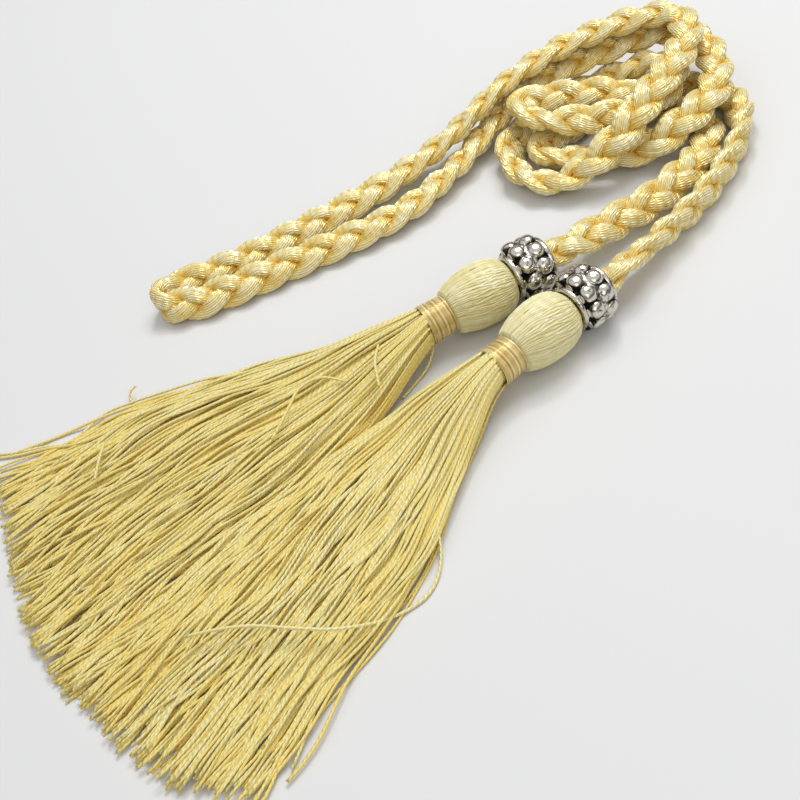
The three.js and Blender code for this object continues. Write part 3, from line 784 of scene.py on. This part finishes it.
def fringe_lines(layout, rng):
    """The lines of a fringe's threads, in the tassel's frame, and each thread's rank in the
    pile from 0 on the ground to 1 on top. Threads run in bundles that sway together."""
    count = BUNDLES_IN_FRINGE * THREADS_IN_BUNDLE
    bundle = np.repeat(np.arange(BUNDLES_IN_FRINGE), THREADS_IN_BUNDLE)
    share = np.linspace(0, 1, THREAD_STEPS)[None]
    middle = (np.arange(BUNDLES_IN_FRINGE) * GOLDEN_STEP) % 1
    across = np.clip(middle[bundle] * (1 + 2 * FAN_OVERLAP) - FAN_OVERLAP
                     + rng.normal(0, ACROSS_SPREAD, count), 0, 1)
    rank = rng.uniform(0, 1, BUNDLES_IN_FRINGE)[bundle] + rng.normal(0, RANK_SPREAD, count)
    rank = np.clip(rank, 0, 1)
    across = 0.5 + (across - 0.5) * (1 - NARROWER_ON_TOP * rank ** 2)
    reach = np.interp(across, np.linspace(0, 1, len(layout["reaches"])), layout["reaches"])
    shorter = SHORTER_BY * rng.uniform(0, 1, count) ** FEW_SHORT
    length = reach * FRINGE_LENGTH * (LONGEST - shorter)
    away = share * length[:, None]
    part = away / FRINGE_LENGTH

    phases = rng.uniform(0, 2 * math.pi, (4, BUNDLES_IN_FRINGE, 1))[:, bundle]
    own = rng.uniform(0, 2 * math.pi, (2, count, 1))
    sway = waves(away, BUNDLE_SWAYS, phases) + waves(away, THREAD_SWAYS, own)
    sway += rng.normal(0, LEAN_SPREAD, (count, 1)) * share
    sway += rng.normal(0, TIP_SPREAD, (count, 1)) * smoothstep(share, *TIP_SPAN)
    loose = smoothstep(share, *LOOSE_SPAN)
    low = edge_at(part, layout["low"])
    high = edge_at(part, layout["high"])
    side = low * (1 - across[:, None]) + high * across[:, None]
    side = side * (1 - NARROWER_AT_ROOT * (1 - loose)) + sway * loose

    # From its place round the neck each thread comes down to its own level in the pile
    fan = 2 * across - 1
    edge = (1 - np.abs(fan) ** 3)[:, None]
    level = rank[:, None] ** 0.5 * (pile_height(share) - THREAD_DIAMETER)
    level = level * (EDGE_LEVEL + (1 - EDGE_LEVEL) * edge) + THREAD_DIAMETER / 2
    ring = ROOT_RADIUS * np.sqrt(1 - fan ** 2 * ROOT_ROUNDNESS)
    root = HEAD_HEIGHT + (2 * rank ** ROOT_CROWDING - 1) * ring
    fallen = smoothstep(share, 0, FALL_END)
    z = root[:, None] * (1 - fallen) + level * fallen
    z = z + waves(away, (BUNDLE_LIFT, THREAD_LIFT), (phases[2], own[1])) * loose
    z = np.maximum(z, THREAD_DIAMETER / 2 * 1.15)
    return np.stack([FRINGE_START - ROOT_OVERLAP * (1 - share) + away, side, z], -1), rank


def make_fringe(number, end, layout, material):
    """All threads of a fringe with its strays, which carry painted light that makes them a
    little paler than the others.
    """
    rng = np.random.default_rng(100 + number)
    lines, rank = fringe_lines(layout, rng)
    strays = stray_lines(number)
    lines = np.concatenate([to_world(lines, tassel_frame(end)), strays])
    rank = np.concatenate([rank, np.full(len(strays), STRAY_RANK)])
    thick = THREAD_DIAMETER / 2 * rng.uniform(*THICKNESS_RANGE, len(lines))
    from_root = smoothstep(np.linspace(0, 1, THREAD_STEPS), 0, 0.3)
    radius = thick[:, None] * (THIN_AT_ROOT + (1 - THIN_AT_ROOT) * from_root)[None]
    rings = thread_rings(lines, radius, rng)
    gaps = np.linalg.norm(np.diff(lines, axis=1), axis=2)
    along = np.concatenate([np.zeros((len(lines), 1)), np.cumsum(gaps, 1)], 1)
    base, painted_shade_of_rank, of_chance = THREAD_TONES_AND_PAINTED_SHADE
    # Painted shade by the thread's rank in the pile, over each thread's own tone by chance
    tone = base + painted_shade_of_rank * rank + of_chance * rng.uniform(0, 1, len(lines))
    shade = np.broadcast_to(tone[:, None, None], rings.shape[:3])
    faces, uvs = tube_faces(rings, 1, along)
    mesh_piece(f"fringe_threads_{number}", rings.reshape(-1, 3), faces, uvs, shade,
               material, [f"tassel_{number}"])


def make_fringe_core(number, end, layout, material):
    """The dense inside of the fringe, which shows in the gaps between its threads."""
    share = np.linspace(0, CORE_REACH, CORE_RINGS)
    low = edge_at(share, layout["low"])
    high = edge_at(share, layout["high"])
    half_width = ((high - low) / 2 * CORE_WIDTH)[:, None]
    fallen = smoothstep(share, 0, 0.3)
    top = pile_height(share) - CORE_BELOW_TOP - CORE_SINKS * fallen - CORE_SINKS * share
    bottom = (HEAD_HEIGHT - NECK_DIAMETER * 0.42) * (1 - fallen) + CORE_ABOVE_GROUND * fallen
    angle = (np.arange(CORE_SIDES) * 2 * math.pi / CORE_SIDES)[None]
    y = ((high + low) / 2)[:, None] + np.cos(angle) * half_width
    z = ((top + bottom) / 2)[:, None] + ((top - bottom) / 2)[:, None] * np.sin(angle)
    x = np.broadcast_to((FRINGE_START + share * FRINGE_LENGTH)[:, None], y.shape)
    rings = to_world(np.stack([x, y, z], -1), tassel_frame(end))[None]
    faces, uvs = tube_faces(rings, CORE_SKIN_TURNS, (share * FRINGE_LENGTH)[None])
    mesh_piece(f"fringe_core_{number}", rings.reshape(-1, 3), faces, uvs,
               np.full(y.shape, CORE_SHADE), material, [f"tassel_{number}"])


# Materials


def new_material(name):
    """A material with its nodes, links and shader."""
    material = bpy.data.materials.new(name)
    material.use_nodes = True
    nodes = material.node_tree.nodes
    return material, nodes, material.node_tree.links, nodes["Principled BSDF"]


def new_node(nodes, kind, **values):
    """A shader node with values set on its named inputs, where _ stands for a space."""
    node = nodes.new(kind)
    for name, value in values.items():
        node.inputs[name.replace("_", " ")].default_value = value
    return node


def times_plus(nodes, links, source, factor, plus):
    """The source times a factor, plus a number or another socket."""
    node = nodes.new("ShaderNodeMath")
    node.operation = "MULTIPLY_ADD"
    node.inputs[1].default_value = factor
    links.new(source, node.inputs[0])
    if isinstance(plus, float):
        node.inputs[2].default_value = plus
    else:
        links.new(plus, node.inputs[2])
    return node.outputs[0]


def shade_and_place(nodes):
    """The shade attribute and the texture places that both kinds of material start from."""
    shade = nodes.new("ShaderNodeAttribute")
    shade.attribute_name = "shade"
    return shade.outputs["Fac"], nodes.new("ShaderNodeTexCoord")


def colour_steps(node, steps):
    """Sets a colour ramp to rows of place and colour."""
    ramp = node.color_ramp
    while len(ramp.elements) < len(steps):
        ramp.elements.new(0.5)
    for element, (place, colour) in zip(ramp.elements, steps):
        element.position = place
        element.color = (*colour, 1)


def thread_material(name, tones, roughness, metallic, specular, twist_pitch, painted_twist_light, bump):
    """Shiny twisted thread. The shade attribute, a cloud and the thread's twisting together choose
    one of the tones, which go from the deepest to the palest. The stripes of the twisting add
    painted highlight and painted shade along each ply, over their bump."""
    material, nodes, links, shader = new_material(name)
    total, place = shade_and_place(nodes)
    stretch = new_node(nodes, "ShaderNodeMapping", Scale=(1, 1 / twist_pitch, 1))
    links.new(place.outputs["UV"], stretch.inputs["Vector"])
    stripes = new_node(nodes, "ShaderNodeTexWave", Scale=math.pi / 5)
    stripes.bands_direction = "DIAGONAL"
    links.new(stretch.outputs["Vector"], stripes.inputs["Vector"])
    cloud = new_node(nodes, "ShaderNodeTexNoise", Scale=260, Detail=3)
    links.new(place.outputs["Object"], cloud.inputs["Vector"])

    total = times_plus(nodes, links, cloud.outputs["Fac"], 0.5, total)
    # Painted highlight and painted shade in stripes along the thread's twisting
    total = times_plus(nodes, links, stripes.outputs["Fac"], painted_twist_light, total)
    spread = new_node(nodes, "ShaderNodeMapRange", From_Min=0.3, From_Max=1.15 + painted_twist_light)
    links.new(total, spread.inputs["Value"])
    ramp = nodes.new("ShaderNodeValToRGB")
    colour_steps(ramp, list(zip((0.0, 0.4, 0.72, 1.0), tones)))
    links.new(spread.outputs["Result"], ramp.inputs["Fac"])
    links.new(ramp.outputs["Color"], shader.inputs["Base Color"])

    dent = new_node(nodes, "ShaderNodeBump", Strength=1.0, Distance=bump)
    links.new(stripes.outputs["Fac"], dent.inputs["Height"])
    links.new(dent.outputs["Normal"], shader.inputs["Normal"])
    shader.inputs["Roughness"].default_value = roughness
    shader.inputs["Metallic"].default_value = metallic
    shader.inputs["Specular IOR Level"].default_value = specular
    return material


def silver_material():
    """Antique silver: polished where the shade attribute is high, black tarnish in the recesses."""
    material, nodes, links, shader = new_material("antique_silver")
    shade, place = shade_and_place(nodes)
    # The grain's dark specks on the polished dots are partly tarnish and partly painted dark
    # reflection; the grain also roughens and dents the metal
    tarnish_and_reflection_grain = new_node(nodes, "ShaderNodeTexNoise", Scale=1200, Detail=5)
    links.new(place.outputs["Object"], tarnish_and_reflection_grain.inputs["Vector"])
    less = times_plus(nodes, links, shade, 0.8, -0.66)
    uneven = times_plus(nodes, links, tarnish_and_reflection_grain.outputs["Fac"], 1.9, less)
    colour = nodes.new("ShaderNodeValToRGB")
    colour_steps(colour, [
        (0.36, (0.012, 0.011, 0.009)), (0.74, (0.14, 0.13, 0.105)), (1.0, (0.68, 0.64, 0.56)),
    ])
    links.new(uneven, colour.inputs["Fac"])
    links.new(colour.outputs["Color"], shader.inputs["Base Color"])
    rough = new_node(nodes, "ShaderNodeMapRange",
                     From_Min=0.3, From_Max=1.1, To_Min=0.5, To_Max=0.1)
    links.new(uneven, rough.inputs["Value"])
    links.new(rough.outputs["Result"], shader.inputs["Roughness"])
    dent = new_node(nodes, "ShaderNodeBump", Strength=0.35, Distance=0.00015)
    links.new(tarnish_and_reflection_grain.outputs["Fac"], dent.inputs["Height"])
    links.new(dent.outputs["Normal"], shader.inputs["Normal"])
    shader.inputs["Metallic"].default_value = 1
    return material


# Ground and light. Each light has its name, place, size and power.
GROUND_HALF = 4.0
LIGHTS = [
    ("key", (0.32, 0.28, 0.8), 0.5, 3.4),
    ("sparkle", (0.2, 0.45, 0.7), 0.14, 1.3),
    ("front_fill", (0.1, -0.8, 0.6), 0.8, 1.6),
]


def make_ground():
    mesh = bpy.data.meshes.new("ground")
    signs = ((-1, -1), (1, -1), (1, 1), (-1, 1))
    corners = [(x * GROUND_HALF, y * GROUND_HALF, 0) for x, y in signs]
    mesh.from_pydata(corners, [], [(0, 1, 2, 3)])
    ground = bpy.data.objects.new("ground", mesh)
    bpy.context.scene.collection.objects.link(ground)
    material, nodes, links, shader = new_material("ground")
    shader.inputs["Base Color"].default_value = (0.68, 0.68, 0.675, 1)
    shader.inputs["Roughness"].default_value = 0.7
    mesh.materials.append(material)


def make_sky():
    """A studio's light by height: bright at the horizon, dark above it, brightest overhead."""
    world = bpy.data.worlds.new("studio")
    bpy.context.scene.world = world
    world.use_nodes = True
    nodes = world.node_tree.nodes
    links = world.node_tree.links
    direction = nodes.new("ShaderNodeTexCoord")
    parts = nodes.new("ShaderNodeSeparateXYZ")
    links.new(direction.outputs["Generated"], parts.inputs["Vector"])
    height = nodes.new("ShaderNodeValToRGB")
    colour_steps(height, [
        (0.0, (0.8, 0.8, 0.8)), (0.1, (0.72, 0.72, 0.72)), (0.22, (0.12, 0.12, 0.13)),
        (0.42, (0.3, 0.3, 0.31)), (0.62, (0.98, 0.985, 1.0)),
    ])
    links.new(parts.outputs["Z"], height.inputs["Fac"])
    sky = nodes["Background"]
    links.new(height.outputs["Color"], sky.inputs["Color"])
    sky.inputs["Strength"].default_value = 0.78


def add_light(name, place, size, power):
    """A round light that shines at the object."""
    data = bpy.data.lights.new(name, "AREA")
    data.shape = "DISK"
    data.size = size
    data.energy = power
    lamp = bpy.data.objects.new(name, data)
    lamp.location = place
    lamp.rotation_euler = (-lamp.location).to_track_quat("-Z", "Y").to_euler()
    bpy.context.scene.collection.objects.link(lamp)


make_camera()
BRAID = thread_material("braid_cord", [
    (0.80, 0.42, 0.03), (0.85, 0.60, 0.13), (0.87, 0.73, 0.30), (0.95, 0.92, 0.71),
], roughness=0.25, metallic=0.22, specular=0.9, twist_pitch=0.0016, painted_twist_light=0.2, bump=0.0001)
THREAD = thread_material("fringe_thread", [
    (0.86, 0.56, 0.08), (0.82, 0.64, 0.17), (0.77, 0.68, 0.28), (0.83, 0.80, 0.54),
], roughness=0.46, metallic=0.0, specular=0.4, twist_pitch=0.0013, painted_twist_light=0.85, bump=0.00012)
HEAD = thread_material("head_thread", [
    (0.52, 0.40, 0.11), (0.70, 0.60, 0.25), (0.78, 0.71, 0.37), (0.88, 0.84, 0.57),
], roughness=0.42, metallic=0.0, specular=0.45, twist_pitch=0.0024, painted_twist_light=0.14, bump=0.00006)
SATIN = thread_material("satin_thread", [
    (0.42, 0.24, 0.03), (0.66, 0.48, 0.15), (0.80, 0.66, 0.31), (0.95, 0.88, 0.62),
], roughness=0.22, metallic=0.35, specular=0.9, twist_pitch=0.004, painted_twist_light=0.15, bump=0.00002)
SILVER = silver_material()

make_plait(BRAID)
for number, (end, layout) in enumerate(zip(ENDS, FRINGES), 1):
    make_bead(number, end, SILVER)
    make_head(number, end, HEAD)
    make_binding(number, end, SATIN)
    make_fringe_core(number, end, layout, THREAD)
    make_fringe(number, end, layout, THREAD)
make_ground()
make_sky()
bpy.context.scene.view_settings.view_transform = "Standard"
for light in LIGHTS:
    add_light(*light)
